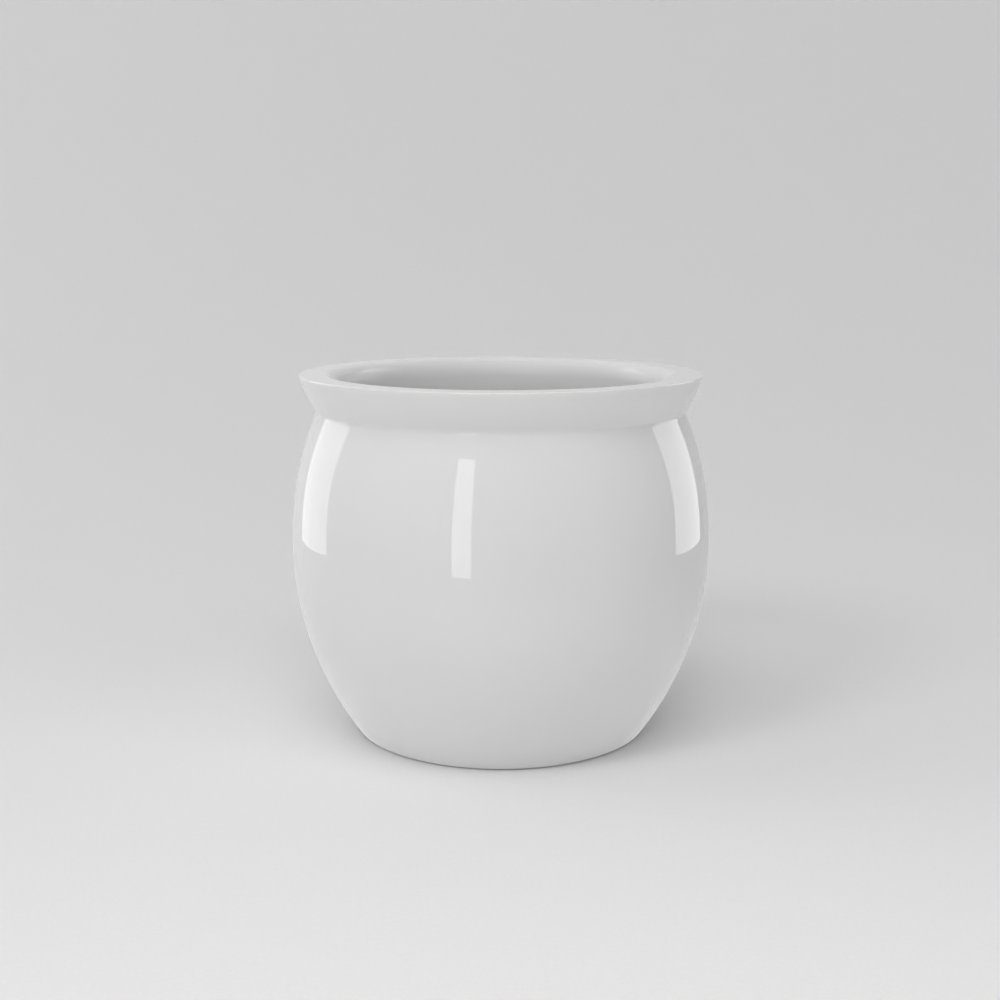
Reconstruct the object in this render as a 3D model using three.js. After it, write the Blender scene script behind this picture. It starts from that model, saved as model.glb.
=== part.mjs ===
// A small round-bellied porcelain crucible: one fired clay body in the shape of a pot with a
// flared collar, and the glossy glaze that covers all of it but the foot.
// Millimetres, +Z up. The origin is the centre of the foot, and Z is the axis of the turning.
import * as THREE from "three";

// Driving dimensions, measured over the glaze.
const HEIGHT = 45.1;
const RIM_RADIUS = 25; // the crisp outer edge of the lip
const LIP_WIDTH = 3; // the flat top of the lip, before it rolls over into the throat
const NECK_RADIUS = 22.9; // the crease between collar and belly
const NECK_HEIGHT = 40.45;
const BELLY_RADIUS = 26.25; // the widest part
const BELLY_HEIGHT = 22.9;
const WALL = 3; // clay and glaze together, at the belly
const FLOOR = 3.6; // thickness at the middle of the foot
const GLAZE = 0.3;
const GLAZE_LINE = 0.15; // height above the foot where the outer glaze stops

// How the curves swell.
const LOWER_BELLY = { reach: 25, drop: 33.85, power: 1.81 }; // part of a superellipse, cut off by the foot
const UPPER_BELLY_POWER = 2.34;
const COLLAR_CROWN = 0.19; // how far the outside of the collar bulges past a straight cone
const FOOT_ROUND = 0.15;
const LIP_ROLL = { width: 1.8, depth: 2.4 }; // the lip's inner edge, a quarter of an ellipse
const THROAT_RADIUS = RIM_RADIUS - LIP_WIDTH - LIP_ROLL.width; // the narrowest place inside
const THROAT_HEIGHT = 40.2; // where the straight throat opens into the belly
const BOWL_FLAT_RADIUS = 9; // the flat middle of the bowl's floor
const BOWL_POWER = 2.2;

const SEGMENTS = 48; // steps around the axis
const LOWER_STEPS = 9;
const UPPER_STEPS = 6;
const COLLAR_STEPS = 3;
const LIP_STEPS = 5;
const BOWL_STEPS = 9;
const ROUND_STEPS = 3;

// An outline point: r is the distance from the axis and z the height.
const point = (r, z) => new THREE.Vector2(r, z);

// The points of a curve at evenly spaced values of t, from 0 to 1.
function along(curve, steps) {
  return Array.from({ length: steps + 1 }, (_, i) => curve(i / steps));
}

// How far a superellipse quadrant has moved inwards, 0 to 1, at a share u of its full drop.
const superellipse = (u, power) => 1 - (1 - u ** power) ** (1 / power);

// Radius of the belly below its widest place, at height z.
function lowerBellyRadius(z) {
  const { reach, drop, power } = LOWER_BELLY;
  return BELLY_RADIUS - reach * superellipse((BELLY_HEIGHT - z) / drop, power);
}

// Radius of the belly above its widest place, at height z.
function upperBellyRadius(z) {
  const share = (z - BELLY_HEIGHT) / (NECK_HEIGHT - BELLY_HEIGHT);
  return BELLY_RADIUS - (BELLY_RADIUS - NECK_RADIUS) * share ** UPPER_BELLY_POWER;
}

// The glazed outside, from the glaze line up over the belly and the crease to the outer edge of the lip.
function outerOutline() {
  const lower = along((t) => {
    const z = THREE.MathUtils.lerp(GLAZE_LINE, BELLY_HEIGHT, t);
    return point(lowerBellyRadius(z), z);
  }, LOWER_STEPS);
  const upper = along((t) => {
    const z = THREE.MathUtils.lerp(BELLY_HEIGHT, NECK_HEIGHT, t);
    return point(upperBellyRadius(z), z);
  }, UPPER_STEPS);
  const collar = along((t) => {
    const cone = THREE.MathUtils.lerp(NECK_RADIUS, RIM_RADIUS, t);
    const bulge = COLLAR_CROWN * (1 - (2 * t - 1) ** 2);
    return point(cone + bulge, THREE.MathUtils.lerp(NECK_HEIGHT, HEIGHT, t));
  }, COLLAR_STEPS);
  return [...lower, ...upper.slice(1), ...collar.slice(1)];
}

// The glazed inside, from the outer edge of the lip across its flat top, down the throat and
// round the bowl to the middle of the floor.
function innerOutline() {
  const roll = along((t) => {
    const angle = (t * Math.PI) / 2;
    return point(
      THROAT_RADIUS + LIP_ROLL.width * (1 - Math.sin(angle)),
      HEIGHT - LIP_ROLL.depth * (1 - Math.cos(angle)),
    );
  }, LIP_STEPS);
  const bowlRadius = BELLY_RADIUS - WALL;
  const shoulder = along((t) => {
    const z = THREE.MathUtils.lerp(THROAT_HEIGHT, BELLY_HEIGHT, t);
    return point(bowlRadius - (bowlRadius - THROAT_RADIUS) * (1 - t) ** UPPER_BELLY_POWER, z);
  }, UPPER_STEPS);
  const bowl = along((t) => {
    const u = Math.sin((t * Math.PI) / 2);
    const r = bowlRadius - (bowlRadius - BOWL_FLAT_RADIUS) * superellipse(u, BOWL_POWER);
    return point(r, BELLY_HEIGHT - (BELLY_HEIGHT - FLOOR) * u);
  }, BOWL_STEPS);
  return [
    point(RIM_RADIUS, HEIGHT),
    ...roll,
    ...shoulder,
    ...bowl.slice(1),
    point(0, FLOOR),
  ];
}

// The outline moved to its left by a distance, square to it, with its corners mitred. The first
// and last points take the direction of the stretch given before or after them.
function moved(outline, distance, before, after) {
  return outline.map((p, i) => {
    const previous = outline[i - 1] ?? before;
    const next = outline[i + 1] ?? after;
    const inward = p.clone().sub(previous).normalize();
    const outward = next.clone().sub(p).normalize();
    const normalIn = point(-inward.y, inward.x);
    const normalOut = point(-outward.y, outward.x);
    const mitre = normalIn.clone().add(normalOut).normalize();
    return p.clone().addScaledVector(mitre, distance / mitre.dot(normalIn));
  });
}

const outside = outerOutline();
const inside = innerOutline();
// Where each outline would go on past its ends.
const belowOutside = point(lowerBellyRadius(0), 0);
const acrossAxis = point(-1, FLOOR);
// The surface of the clay under each coat of glaze. The two meet in one corner under the lip's edge.
const clayOutside = moved(outside, GLAZE, belowOutside, inside[1]);
const clayInside = moved(inside, GLAZE, outside.at(-2), acrossAxis);

// One turned solid from a closed outline, standing upright on the foot.
function turned(name, outline, material) {
  const geometry = new THREE.LatheGeometry(outline, SEGMENTS);
  geometry.rotateX(Math.PI / 2);
  const mesh = new THREE.Mesh(geometry, material);
  mesh.name = name;
  return mesh;
}

const clayMaterial = () =>
  new THREE.MeshStandardMaterial({ color: 0xe9e4da, roughness: 0.8, metalness: 0 });
const glazeMaterial = () =>
  new THREE.MeshStandardMaterial({ color: 0xf3f3f1, roughness: 0.12, metalness: 0 });

// The fired clay: bare flat foot with a rounded edge, and a small step out to the glaze line.
function porcelainBody() {
  const footEdge = lowerBellyRadius(0) - GLAZE;
  const heel = along((t) => {
    const angle = (t * Math.PI) / 2;
    return point(
      footEdge - FOOT_ROUND * (1 - Math.sin(angle)),
      FOOT_ROUND * (1 - Math.cos(angle)),
    );
  }, ROUND_STEPS);
  return turned(
    "porcelain_body",
    [point(0, 0), ...heel, ...clayOutside, ...clayInside.slice(1)],
    clayMaterial(),
  );
}

function outerGlaze() {
  const outline = [...outside, ...clayOutside.toReversed(), outside[0]];
  return turned("outer_glaze", outline, glazeMaterial());
}

function innerGlaze() {
  const outline = [...clayInside.toReversed(), ...inside];
  return turned("inner_glaze", outline, glazeMaterial());
}

const group = new THREE.Group();
group.add(porcelainBody(), outerGlaze(), innerGlaze());

export default group;
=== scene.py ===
import math

import bmesh
import bpy
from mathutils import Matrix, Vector

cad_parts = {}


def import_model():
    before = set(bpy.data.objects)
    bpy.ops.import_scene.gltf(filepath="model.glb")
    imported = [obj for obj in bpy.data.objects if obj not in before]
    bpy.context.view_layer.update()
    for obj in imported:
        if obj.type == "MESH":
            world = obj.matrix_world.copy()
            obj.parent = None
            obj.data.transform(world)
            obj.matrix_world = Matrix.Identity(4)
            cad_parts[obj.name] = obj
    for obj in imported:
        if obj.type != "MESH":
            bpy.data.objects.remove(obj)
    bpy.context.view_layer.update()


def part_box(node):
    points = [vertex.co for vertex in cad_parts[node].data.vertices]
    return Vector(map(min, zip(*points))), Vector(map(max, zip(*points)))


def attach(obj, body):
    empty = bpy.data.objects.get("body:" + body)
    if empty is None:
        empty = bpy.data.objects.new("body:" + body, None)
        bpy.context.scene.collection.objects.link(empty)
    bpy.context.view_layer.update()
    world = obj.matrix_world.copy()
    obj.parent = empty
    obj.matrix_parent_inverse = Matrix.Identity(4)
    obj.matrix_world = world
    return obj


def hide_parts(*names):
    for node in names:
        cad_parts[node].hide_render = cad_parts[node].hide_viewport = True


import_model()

# The looks of a glazed porcelain crucible: a clay body and its two coats of glaze, each turned
# round the Z axis, in a plain pale studio. Metres, with the origin at the middle of the foot.
MM = 0.001

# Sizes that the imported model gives.
outer_low, outer_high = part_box("outer_glaze")
inner_low, inner_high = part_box("inner_glaze")
RIM_RADIUS = inner_high[0]
HEIGHT = inner_high[2]
BELLY_RADIUS = outer_high[0]
GLAZE_LINE = outer_low[2]

# Sizes of the outline between those, over the glaze.
GLAZE = 0.3 * MM
FLOOR = inner_low[2] + GLAZE
LIP_WIDTH = 3 * MM
NECK_RADIUS = 22.9 * MM
NECK_HEIGHT = 40.45 * MM
BELLY_HEIGHT = 22.9 * MM
WALL = 3 * MM
LOWER_REACH = 25 * MM
LOWER_DROP = 33.85 * MM
LOWER_POWER = 1.81
UPPER_POWER = 2.34
COLLAR_CROWN = 0.19 * MM
ROLL_WIDTH = 1.8 * MM
ROLL_DEPTH = 2.4 * MM
THROAT_RADIUS = RIM_RADIUS - LIP_WIDTH - ROLL_WIDTH
THROAT_HEIGHT = 40.2 * MM
BOWL_FLAT_RADIUS = 9 * MM
BOWL_POWER = 2.2

# Roundings too small for the CAD model.
RIM_EDGE_ROUND = 0.22 * MM
CREASE_ROUND = 0.35 * MM
FOOT_ROUND = 0.15 * MM

SEGMENTS = 192
CURVE_STEPS = 56
COLLAR_STEPS = 12
ROUND_STEPS = 8
ROLL_STEPS = 24
ON_AXIS = 1e-7  # a radius below this is a point on the axis
SHARP_ANGLE = math.radians(35)
HIDDEN_STRIDE = 4  # the faces between glaze and clay are never seen and take fewer points


def lerp(a, b, t):
    return a + (b - a) * t


def along(curve, steps, start=0.0, end=1.0):
    """The points of a curve at evenly spaced values of t."""
    return [curve(lerp(start, end, i / steps)) for i in range(steps + 1)]


def superellipse(u, power):
    return 1 - (1 - u**power) ** (1 / power)


def lower_belly(z):
    share = (BELLY_HEIGHT - z) / LOWER_DROP
    return Vector((BELLY_RADIUS - LOWER_REACH * superellipse(share, LOWER_POWER), z))


def upper_belly(z):
    share = (z - BELLY_HEIGHT) / (NECK_HEIGHT - BELLY_HEIGHT)
    return Vector((BELLY_RADIUS - (BELLY_RADIUS - NECK_RADIUS) * share**UPPER_POWER, z))


def collar(t):
    crown = COLLAR_CROWN * 4 * t * (1 - t)
    return Vector((lerp(NECK_RADIUS, RIM_RADIUS, t) + crown, lerp(NECK_HEIGHT, HEIGHT, t)))


def rounded_corner(before, corner, after, size):
    """A short curve that leaves the line from before, passes near corner and joins the line to after."""
    start = corner + (before - corner).normalized() * size
    end = corner + (after - corner).normalized() * size
    return along(lambda t: start.lerp(corner, t).lerp(corner.lerp(end, t), t), ROUND_STEPS)


def outer_outline():
    """The glazed outside, from the glaze line up to the flat of the lip just inside its outer edge."""
    lower = along(lower_belly, CURVE_STEPS, GLAZE_LINE, BELLY_HEIGHT)
    upper = along(upper_belly, CURVE_STEPS, BELLY_HEIGHT, NECK_HEIGHT - CREASE_ROUND)
    flare = along(collar, COLLAR_STEPS, 0.1, 0.95)
    crease = rounded_corner(upper[-1], Vector((NECK_RADIUS, NECK_HEIGHT)), flare[0], CREASE_ROUND)
    rim = Vector((RIM_RADIUS, HEIGHT))
    edge = rounded_corner(flare[-1], rim, Vector((0, HEIGHT)), RIM_EDGE_ROUND)
    return lower + upper[1:-1] + crease + flare + edge


def inner_outline():
    """The glazed inside, from the outer edge of the lip to the middle of the bowl's floor."""
    start = Vector((RIM_RADIUS - RIM_EDGE_ROUND, HEIGHT))
    roll = along(
        lambda t: Vector((
            THROAT_RADIUS + ROLL_WIDTH * (1 - math.sin(t * math.pi / 2)),
            HEIGHT - ROLL_DEPTH * (1 - math.cos(t * math.pi / 2)),
        )),
        ROLL_STEPS,
    )
    bowl_radius = BELLY_RADIUS - WALL
    shoulder = along(
        lambda t: Vector((
            bowl_radius - (bowl_radius - THROAT_RADIUS) * (1 - t) ** UPPER_POWER,
            lerp(THROAT_HEIGHT, BELLY_HEIGHT, t),
        )),
        CURVE_STEPS // 2,
    )

    def bowl_point(t):
        drop = math.sin(t * math.pi / 2)
        inward = (bowl_radius - BOWL_FLAT_RADIUS) * superellipse(drop, BOWL_POWER)
        return Vector((bowl_radius - inward, lerp(BELLY_HEIGHT, FLOOR, drop)))

    bowl = along(bowl_point, CURVE_STEPS)
    return [start] + roll + shoulder + bowl[1:] + [Vector((0, FLOOR))]


def moved(outline, distance):
    """The outline moved to its left by a distance, square to it."""
    result = []
    for i, p in enumerate(outline):
        before = outline[max(i - 1, 0)]
        after = outline[min(i + 1, len(outline) - 1)]
        direction = (after - before).normalized()
        result.append(p + Vector((-direction.y, direction.x)) * distance)
    return result


def thinned(outline):
    return outline[:-1:HIDDEN_STRIDE] + [outline[-1]]


def ring(body, r, z):
    """A level ring of points round the Z axis."""
    angles = [2 * math.pi * k / SEGMENTS for k in range(SEGMENTS)]
    return [body.verts.new((r * math.cos(a), r * math.sin(a), z)) for a in angles]


def in_scene(name, body):
    """The finished shape as an object in the scene."""
    mesh = bpy.data.meshes.new(name)
    body.to_mesh(mesh)
    body.free()
    made = bpy.data.objects.new(name, mesh)
    bpy.context.scene.collection.objects.link(made)
    return made


def turned(name, outline, closed):
    """One closed body turned from an outline, which starts and ends on the axis or closes on itself."""
    body = bmesh.new()
    rings = [[body.verts.new((0, 0, z))] if r < ON_AXIS else ring(body, r, z) for r, z in outline]
    pairs = list(zip(rings, rings[1:]))
    if closed:
        pairs.append((rings[-1], rings[0]))
    for lower, upper in pairs:
        for k in range(SEGMENTS):
            following = (k + 1) % SEGMENTS
            if len(lower) == 1:
                body.faces.new((lower[0], upper[following], upper[k]))
            elif len(upper) == 1:
                body.faces.new((lower[k], lower[following], upper[0]))
            else:
                body.faces.new((lower[k], lower[following], upper[following], upper[k]))
    bmesh.ops.recalc_face_normals(body, faces=body.faces)
    piece = in_scene(name, body)
    piece.data.shade_smooth()
    piece.data.set_sharp_from_angle(angle=SHARP_ANGLE)
    return piece


# ---------------------------------------------------------------- materials


def node(tree, kind, inputs=None, **settings):
    """A shader node with its settings, and its inputs set to values or linked to sockets."""
    made = tree.nodes.new("ShaderNode" + kind)
    for name, value in settings.items():
        setattr(made, name, value)
    for name, value in (inputs or {}).items():
        if isinstance(value, bpy.types.NodeSocket):
            tree.links.new(value, made.inputs[name])
        else:
            made.inputs[name].default_value = value
    return made


def calculate(tree, operation, *values):
    made = node(tree, "Math", dict(enumerate(values)), operation=operation)
    return made.outputs[0]


def noise(tree, place, size, detail=2.0, roughness=0.5):
    """Noise from 0 to 1 whose patches are about size across."""
    inputs = {"Vector": place, "Scale": 1 / size, "Detail": detail, "Roughness": roughness}
    return node(tree, "TexNoise", inputs).outputs["Fac"]


def spread(tree, value, low, high, to_low=0.0, to_high=1.0):
    """The value stretched from low..high to another range, and kept inside it, eased at both ends."""
    inputs = {"Value": value, "From Min": low, "From Max": high, "To Min": to_low, "To Max": to_high}
    return node(tree, "MapRange", inputs, interpolation_type="SMOOTHSTEP").outputs["Result"]


def mixed(tree, factor, a, b):
    """Value a, turning to b as factor goes from 0 to 1."""
    inputs = {0: factor, 2: a, 3: b}
    return node(tree, "Mix", inputs, data_type="FLOAT").outputs[0]


def blended(tree, factor, a, b):
    """Colour a, turning to b as factor goes from 0 to 1."""
    inputs = {0: factor, 6: a, 7: b}
    return node(tree, "Mix", inputs, data_type="RGBA").outputs[2]


def bump(tree, height, depth, normal=None):
    inputs = {"Height": height, "Distance": depth, "Strength": 1.0}
    if normal:
        inputs["Normal"] = normal
    return node(tree, "Bump", inputs).outputs["Normal"]


def grey(value, tint=(1.0, 1.0, 1.0)):
    return tuple(value * c for c in tint) + (1.0,)


def new_material(name):
    """An empty material, its tree, and the place of each point in metres."""
    material = bpy.data.materials.new(name)
    material.use_nodes = True
    tree = material.node_tree
    tree.nodes.clear()
    return material, tree, node(tree, "TexCoord").outputs["Object"]


def height_and_radius(tree, place):
    split = node(tree, "SeparateXYZ", {"Vector": place}).outputs
    flat = node(tree, "CombineXYZ", {"X": split["X"], "Y": split["Y"]}).outputs["Vector"]
    radius = node(tree, "VectorMath", {0: flat}, operation="LENGTH").outputs["Value"]
    return split["Z"], radius


def band(tree, value, middle, half_width):
    """1 where value is at middle, falling to 0 half_width away."""
    distance = calculate(tree, "ABSOLUTE", calculate(tree, "SUBTRACT", value, middle))
    return spread(tree, distance, 0.0, half_width, 1.0, 0.0)


def specks(tree, place, spacing, size, share):
    """Round dots of a given size, in a share of the cells that are spacing across."""
    cells = node(tree, "TexVoronoi", {"Vector": place, "Scale": 1 / spacing, "Randomness": 0.9})
    dot = spread(tree, cells.outputs["Distance"], 0.35 * size / spacing, 0.5 * size / spacing, 1.0, 0.0)
    chance = node(tree, "SeparateColor", {"Color": cells.outputs["Color"]}).outputs["Red"]
    return calculate(tree, "MULTIPLY", dot, calculate(tree, "LESS_THAN", chance, share))


def glaze_material(name, dull_and_shaded_below):
    """Clear glossy glaze over white porcelain, duller under the given height, where it is also painted
    greyer as painted shade.
    """
    material, tree, place = new_material(name)
    z, radius = height_and_radius(tree, place)

    cloud = noise(tree, place, size=18 * MM, detail=3.0)
    colour = blended(tree, spread(tree, cloud, low=0.3, high=0.7), GLAZE_WHITE, GLAZE_COOL)
    # Below the given height the glaze is painted greyer, painted shade for the deep of the mouth; the same
    # mask makes it duller there.
    deep = spread(tree, z, dull_and_shaded_below - DULL_AND_SHADE_EDGE, dull_and_shaded_below, 1.0, 0.0)
    colour = blended(tree, deep, colour, GLAZE_PAINTED_SHADE)
    # The crease is painted a little lighter, painted light where shade would gather, and the lip's outer
    # edge is painted lighter as a painted highlight line.
    crease = band(tree, z, NECK_HEIGHT, half_width=0.9 * MM)
    colour = blended(tree, calculate(tree, "MULTIPLY", crease, CREASE_PAINTED_LIGHT_SHARE), colour, GLAZE_CREASE_PAINTED_LIGHT)
    # Painted highlight: a lighter band along the top of the lip's outer edge.
    rim = calculate(tree, "MULTIPLY", band(tree, radius, RIM_RADIUS, half_width=0.5 * MM), RIM_PAINTED_HIGHLIGHT_SHARE)
    rim_high = spread(tree, z, LIP_LOW, HEIGHT - 0.1 * MM)
    colour = blended(tree, calculate(tree, "MULTIPLY", rim, rim_high), colour, GLAZE_RIM_PAINTED_HIGHLIGHT)
    dots = specks(tree, place, spacing=6 * MM, size=0.22 * MM, share=0.07)
    colour = blended(tree, calculate(tree, "MULTIPLY", dots, DIRT_SHARE), colour, SPECK)

    # Handling leaves faint dull patches, and the heel is scuffed where it slides on a bench.
    patches = noise(tree, place, size=9 * MM, detail=4.0)
    smears = spread(tree, patches, low=0.45, high=0.75, to_low=0.012, to_high=0.03)
    scratches = noise(tree, place, size=0.35 * MM, detail=3.0)
    scuffs = spread(tree, scratches, low=0.5, high=0.7, to_low=0.0, to_high=0.22)
    heel = spread(tree, z, HEEL_LOW, HEEL_HIGH, 1.0, 0.0)
    gloss = calculate(tree, "ADD", smears, calculate(tree, "MULTIPLY", scuffs, heel))
    gloss = calculate(tree, "ADD", gloss, calculate(tree, "MULTIPLY", deep, DULL_ROUGHNESS))

    swell = bump(tree, noise(tree, place, size=12 * MM, detail=1.0), depth=9e-6)
    peel = bump(tree, noise(tree, place, size=1.6 * MM, detail=2.0), depth=0.9e-6, normal=swell)
    pits = specks(tree, place, spacing=7.3 * MM, size=0.16 * MM, share=0.05)
    surface = bump(tree, calculate(tree, "MULTIPLY", pits, -1.0), depth=14e-6, normal=peel)

    shader = node(tree, "BsdfPrincipled", {
        "Base Color": colour,
        "Roughness": gloss,
        "IOR": PORCELAIN_IOR,
        "Normal": surface,
    })
    node(tree, "OutputMaterial", {"Surface": shader.outputs["BSDF"]})
    return material


def clay_material(name):
    """Bare fired porcelain: matt, faintly warm, with a fine grain and grey rubbing on the foot."""
    material, tree, place = new_material(name)
    z, radius = height_and_radius(tree, place)
    tone = blended(tree, noise(tree, place, size=7 * MM, detail=4.0), CLAY_WARM, CLAY_PALE)
    rubbing = noise(tree, place, size=1.3 * MM, detail=4.0, roughness=0.7)
    rubbed = spread(tree, rubbing, low=0.5, high=0.72)
    foot_edge = lower_belly(0)[0]
    wear = calculate(tree, "MULTIPLY", rubbed, band(tree, radius, foot_edge, half_width=2.4 * MM))
    tone = blended(tree, calculate(tree, "MULTIPLY", wear, WEAR_SHARE), tone, CLAY_RUBBED)
    dots = specks(tree, place, spacing=1.1 * MM, size=0.12 * MM, share=0.12)
    tone = blended(tree, calculate(tree, "MULTIPLY", dots, GRIT_SHARE), tone, SPECK)
    dullness = spread(tree, rubbed, low=0.0, high=1.0, to_low=0.82, to_high=0.55)
    grain = bump(tree, noise(tree, place, size=0.16 * MM, detail=3.0), depth=7e-6)
    turning = calculate(tree, "MULTIPLY", radius, 2 * math.pi / TURNING_PITCH)
    surface = bump(tree, calculate(tree, "SINE", turning), depth=2.5e-6, normal=grain)
    shader = node(tree, "BsdfPrincipled", {
        "Base Color": tone,
        "Roughness": dullness,
        "IOR": PORCELAIN_IOR,
        "Normal": surface,
    })
    node(tree, "OutputMaterial", {"Surface": shader.outputs["BSDF"]})
    return material


PORCELAIN_IOR = 1.5
LIP_LOW = HEIGHT - 0.8 * MM  # the lip's look fades out, and the inside turns duller and is painted greyer as painted shade, below this
HEEL_LOW = 0.4 * MM
HEEL_HIGH = 1.6 * MM
# the height over which the inside turns duller and takes its painted shade
DULL_AND_SHADE_EDGE = 0.3 * MM
DULL_ROUGHNESS = 0.35
TURNING_PITCH = 0.7 * MM  # between the fine rings left by turning the foot
# How strongly each mark shows, from 0 to 1.
# the strength of the crease's painted light
CREASE_PAINTED_LIGHT_SHARE = 0.5
# the strength of the lip edge's painted highlight
RIM_PAINTED_HIGHLIGHT_SHARE = 0.6
DIRT_SHARE = 0.4
WEAR_SHARE = 0.45
GRIT_SHARE = 0.5

GLAZE_WHITE = grey(0.80, (1.0, 1.0, 0.995))
GLAZE_COOL = grey(0.785, (0.995, 1.0, 1.0))
# painted light: the lighter colour the crease under the collar is painted
GLAZE_CREASE_PAINTED_LIGHT = grey(0.82, (0.985, 1.0, 0.995))
# painted highlight: the lighter colour of the band along the lip's outer edge
GLAZE_RIM_PAINTED_HIGHLIGHT = grey(0.83, (1.0, 0.995, 0.98))
# painted shade: the grey that the inside below the lip is painted
GLAZE_PAINTED_SHADE = grey(0.76, (1.0, 1.0, 0.998))
SPECK = grey(0.34, (1.0, 0.92, 0.82))
CLAY_WARM = grey(0.72, (1.0, 0.97, 0.92))
CLAY_PALE = grey(0.78, (1.0, 0.985, 0.95))
CLAY_RUBBED = grey(0.5, (1.0, 0.98, 0.95))
BOARD_LIGHT = grey(0.86, (1.0, 0.994, 0.998))
BOARD_DARK = grey(0.85, (1.0, 0.992, 0.998))
BOARD_FIBRE = grey(0.8, (1.0, 0.99, 0.995))


# ---------------------------------------------------------------- the pieces


def crucible():
    """The three pieces, each riding on the one body and standing in for its CAD node."""
    outside, inside = outer_outline(), inner_outline()
    clay_outside, clay_inside = thinned(moved(outside, GLAZE)), thinned(moved(inside, GLAZE))
    # The clay under both coats meets in one corner below the lip's outer edge.
    corner = Vector((RIM_RADIUS - GLAZE, HEIGHT - GLAZE))
    clay_outside[-1] = corner
    clay_inside[0] = corner
    clay_inside[-1] = Vector((0, FLOOR - GLAZE))

    foot_edge = lower_belly(0)[0] - GLAZE
    heel = along(
        lambda t: Vector((
            foot_edge - FOOT_ROUND * (1 - math.sin(t * math.pi / 2)),
            FOOT_ROUND * (1 - math.cos(t * math.pi / 2)),
        )),
        ROUND_STEPS,
    )
    clay = turned("clay_body", [Vector((0, 0))] + heel + clay_outside + clay_inside[1:], closed=False)
    coat_outside = turned("glaze_coat_outside", outside + clay_outside[::-1], closed=True)
    coat_inside = turned("glaze_coat_inside", clay_inside[::-1] + inside, closed=False)
    for piece, material, slot, cad_node in (
        (clay, clay_material("bare_porcelain"), "porcelain", "porcelain_body"),
        (coat_outside, glaze_material("glaze_outside", 0.0), "glaze", "outer_glaze"),
        (coat_inside, glaze_material("glaze_inside", LIP_LOW), "glaze", "inner_glaze"),
    ):
        piece.data.materials.append(material)
        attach(piece, "root")
        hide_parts(cad_node)


# ---------------------------------------------------------------- the studio

SWEEP_FLAT = 0.5  # radius of the flat floor
SWEEP_BEND = 0.4  # radius of the curve up into the wall
SWEEP_TOP = 0.55
SWEEP_OFFSET = 0.45  # how far the sweep's middle is in front of the vessel
SWEEP_DROP = 0.02 * MM  # keeps the board clear of the foot
SWEEP_STEPS = 40
PANEL_DISTANCE = 0.6
AIR_BELOW = 0.85
BANK_DISTANCE = 0.8
SIDE_DISTANCE = 0.75
LEFT_DISTANCE = 0.7

# The camera: a 50 mm lens on a 36 mm sensor, 173 mm in front of the axis, looking slightly down.
CAMERA_PLACE = (-0.12 * MM, -173.2 * MM, 60.9 * MM)
CAMERA_TILT = math.radians(90 - 10.48)
CAMERA_LENS = 50
CAMERA_SENSOR = 36


def studio_material():
    """Pale painted board with a soft tooth."""
    material, tree, place = new_material("studio_board")
    cloud = noise(tree, place, size=160 * MM, detail=2.0)
    colour = blended(tree, cloud, BOARD_LIGHT, BOARD_DARK)
    fibre = noise(tree, place, size=0.45 * MM, detail=3.0, roughness=0.7)
    fibres = spread(tree, fibre, low=0.35, high=0.75, to_low=0.0, to_high=0.35)
    colour = blended(tree, fibres, colour, BOARD_FIBRE)
    tooth = bump(tree, fibre, depth=25e-6)
    shader = node(tree, "BsdfPrincipled", {
        "Base Color": colour,
        "Roughness": 0.85,
        "Specular IOR Level": 0.2,
        "Normal": tooth,
    })
    node(tree, "OutputMaterial", {"Surface": shader.outputs["BSDF"]})
    return material


def studio():
    """A round seamless sweep, nearest behind the vessel: a flat floor that curves up into a wall."""
    wall_curve = along(
        lambda t: Vector((
            SWEEP_FLAT + SWEEP_BEND * math.sin(t * math.pi / 2),
            SWEEP_BEND * (1 - math.cos(t * math.pi / 2)),
        )),
        SWEEP_STEPS,
    )
    wall_top = Vector((SWEEP_FLAT + SWEEP_BEND, SWEEP_TOP))
    body = bmesh.new()
    centre = body.verts.new((0, 0, 0))
    rings = [ring(body, r, z) for r, z in wall_curve + [wall_top]]
    for k in range(SEGMENTS):
        following = (k + 1) % SEGMENTS
        body.faces.new((centre, rings[0][k], rings[0][following]))
        for low, high in zip(rings, rings[1:]):
            body.faces.new((low[k], high[k], high[following], low[following]))
    sweep = in_scene("studio_sweep", body)
    sweep.data.shade_smooth()
    sweep.data.materials.append(studio_material())
    sweep.location = (0, -SWEEP_OFFSET, -SWEEP_DROP)
    sweep.visible_glossy = False  # the gloss shows the even air instead of the board


def direction(azimuth, elevation):
    """Azimuth in degrees from the camera's side towards +X, elevation up from the floor."""
    a, e = math.radians(azimuth), math.radians(elevation)
    return Vector((math.sin(a) * math.cos(e), -math.cos(a) * math.cos(e), math.sin(e)))


def softbox(name, azimuth, elevation, distance, size, power):
    """A round soft lamp aimed at the vessel, which the gloss doesn't show."""
    light = bpy.data.lights.new(name, "AREA")
    light.shape = "DISK"
    light.size = size
    light.energy = power
    lamp = bpy.data.objects.new(name, light)
    target = Vector((0, 0, HEIGHT / 2))
    lamp.location = target + direction(azimuth, elevation) * distance
    lamp.rotation_euler = (target - lamp.location).to_track_quat("-Z", "Y").to_euler()
    lamp.visible_camera = False
    lamp.visible_glossy = False
    bpy.context.scene.collection.objects.link(lamp)


def floor_glow(x, y, height, power):
    """A soft pool of light on the floor at x, y."""
    light = bpy.data.lights.new("floor_glow", "SPOT")
    light.energy = power
    light.spot_size = math.radians(60)
    light.spot_blend = 1.0
    light.shadow_soft_size = 0.05
    lamp = bpy.data.objects.new("floor_glow", light)
    lamp.location = (x, y, height)
    lamp.visible_camera = False
    lamp.visible_glossy = False
    bpy.context.scene.collection.objects.link(lamp)


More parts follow.
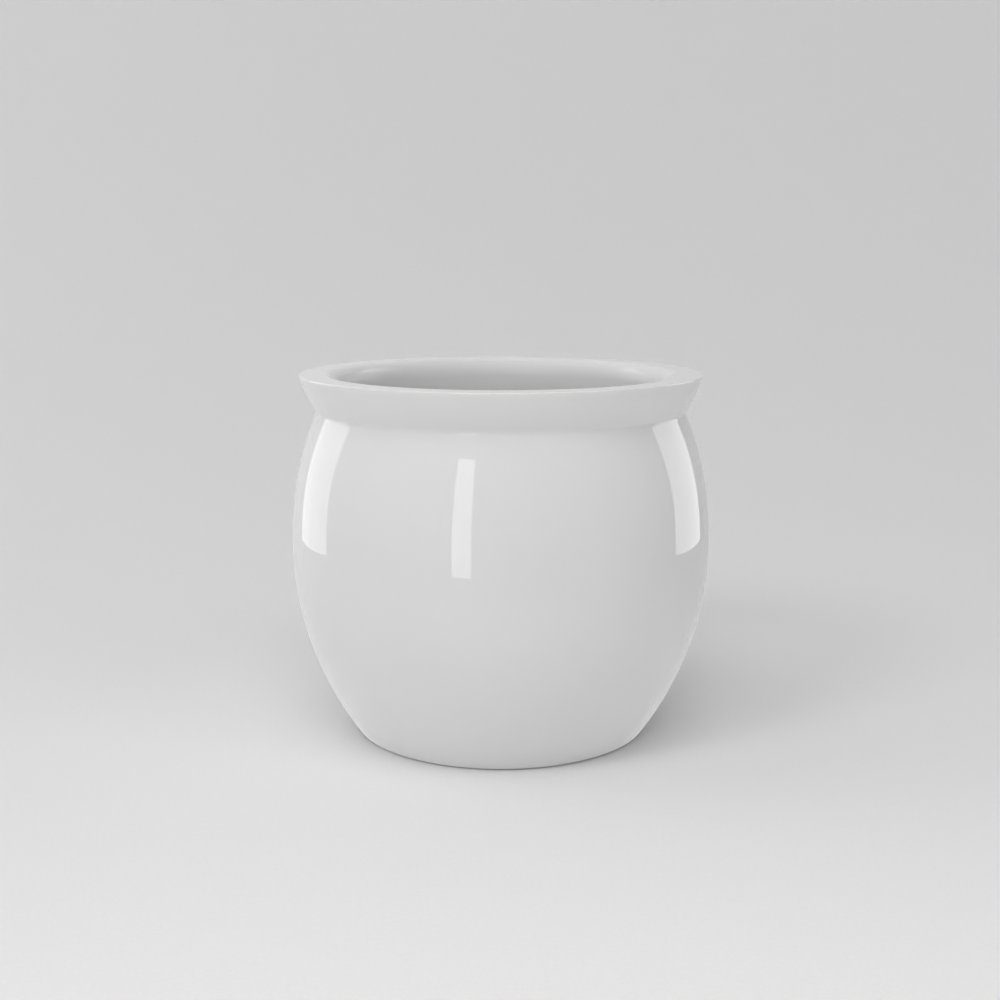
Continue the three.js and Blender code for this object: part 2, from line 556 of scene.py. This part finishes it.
def panel_material(name, radiance):
    """An even glow that isn't sampled as a lamp."""
    material, tree, _ = new_material(name)
    glow = node(tree, "Emission", {"Strength": radiance})
    node(tree, "OutputMaterial", {"Surface": glow.outputs["Emission"]})
    material.cycles.emission_sampling = "NONE"
    return material


def panel(name, azimuth, width, low, high, radiance):
    """An upright softbox that only the gloss sees. Its middle, width and two heights are in degrees."""
    left, right = azimuth - width / 2, azimuth + width / 2
    corners = ((left, low), (right, low), (right, high), (left, high))
    middle = Vector((0, 0, BELLY_HEIGHT))
    body = bmesh.new()
    body.faces.new([body.verts.new(middle + direction(*c) * PANEL_DISTANCE) for c in corners])
    glass = in_scene(name, body)
    glass.data.materials.append(panel_material(name, radiance))
    glass.visible_camera = False
    glass.visible_diffuse = False
    glass.visible_transmission = False
    glass.visible_volume_scatter = False
    glass.visible_shadow = False


def lights():
    """A tall bank in front, a key from the left with a fill opposite, and a soft wall on the left."""
    for name, elevation, power in (("bank_front", 15, 0.1), ("bank_low", 40, 0.9), ("bank_high", 65, 1.6)):
        softbox(name, 0, elevation, BANK_DISTANCE, size=0.6, power=power)
    softbox("key_left", -45, 40, SIDE_DISTANCE, size=0.25, power=1.0)
    softbox("fill_right", 55, 45, SIDE_DISTANCE, size=0.35, power=0.4)
    softbox("fill_low", 55, 15, SIDE_DISTANCE, size=0.25, power=0.15)
    for name, elevation in (("left_low", 20), ("left_high", 60)):
        softbox(name, -90, elevation, LEFT_DISTANCE, size=0.4, power=0.4)
    floor_glow(0, -0.15, height=0.3, power=0.5)


def reflections():
    """The bright shapes in the gloss: a narrow strip in front, and a tall softbox behind each side."""
    panel("strip_front", azimuth=-20, width=10, low=-10, high=30, radiance=3.0)
    for name, side in (("tall_left", -1), ("tall_right", 1)):
        panel(name, azimuth=side * 120, width=30, low=-10, high=40, radiance=2.0)


def world():
    """The air round the set: bright below, and behind, where it fades from left to right."""
    scene = bpy.context.scene
    scene.world = bpy.data.worlds.new("studio_air")
    scene.world.use_nodes = True
    tree = scene.world.node_tree
    tree.nodes.clear()
    axes = node(tree, "SeparateXYZ", {"Vector": node(tree, "TexCoord").outputs["Generated"]}).outputs
    across = spread(tree, axes["X"], low=-0.9, high=0.9, to_low=0.85, to_high=0.5)
    behind = calculate(tree, "MULTIPLY", spread(tree, axes["Y"], -0.2, 0.8), across)
    below = spread(tree, axes["Z"], -0.6, -0.1, 1.0, 0.0)
    strength = mixed(tree, below, behind, AIR_BELOW)
    air = node(tree, "Background", {"Color": grey(1.0, (1.0, 0.998, 1.0)), "Strength": strength})
    node(tree, "OutputWorld", {"Surface": air.outputs["Background"]})


def camera():
    """The camera at the photograph's viewing angle."""
    lens = bpy.data.cameras.new("camera")
    lens.sensor_width = CAMERA_SENSOR
    lens.lens = CAMERA_LENS
    lens.clip_start = 0.01
    lens.clip_end = 10
    eye = bpy.data.objects.new("camera", lens)
    eye.location = CAMERA_PLACE
    eye.rotation_euler = (CAMERA_TILT, 0, 0)
    bpy.context.scene.collection.objects.link(eye)
    bpy.context.scene.camera = eye
    bpy.context.scene.view_settings.view_transform = "Standard"


camera()
crucible()
studio()
lights()
reflections()
world()
